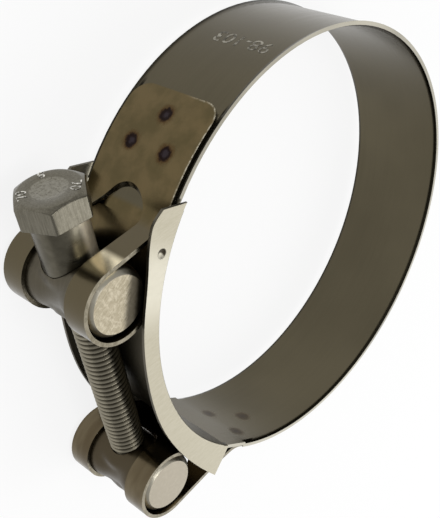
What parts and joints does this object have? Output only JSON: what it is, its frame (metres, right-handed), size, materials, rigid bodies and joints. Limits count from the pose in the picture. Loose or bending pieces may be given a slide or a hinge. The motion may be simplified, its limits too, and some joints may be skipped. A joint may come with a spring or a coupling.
{
  "type": "bolt hose clamp",
  "caption": "Heavy-duty round hose clamp: a folded strip band with a bridge, two cross pins and a hexagon bolt that draws its ends together.",
  "frame": {"origin": "centre of the hose bore, mid-width", "axes": "+Z along the hose bore, +Y away from the bolt, +X along the bolt from its head to its tip"},
  "size_m": [0.102, 0.1139, 0.0272],
  "materials": {
    "band_steel": "smooth rolled stainless strip",
    "bridge_steel": "satin pickled stainless sheet",
    "pin_steel": "turned stainless",
    "bolt_steel": "satin stainless, rolled thread",
    "sleeve_steel": "smooth drawn stainless tube"
  },
  "bodies": {
    "clamp": {"band": "band_steel", "bridge": "bridge_steel", "head_trunnion": "pin_steel", "nut_trunnion": "pin_steel"},
    "sleeve": {"spacer_sleeve": "sleeve_steel"},
    "bolt": {"bolt": "bolt_steel"}
  },
  "joints": [
    {"name": "bolt_travel", "type": "slide", "parent": "clamp", "child": "sleeve", "axis": [-1, 0, 0], "range_m": [0, 0.0138]},
    {"name": "bolt_turn", "type": "hinge", "parent": "sleeve", "child": "bolt", "pos_m": [-0.03788, -0.0546, 0], "axis": [-1, 0, 0], "range_deg": [0, 3960]}
  ],
  "couplings": [
    {"joint": "bolt_travel", "follows": "bolt_turn", "m_per_rad": 0.00019894}
  ]
}
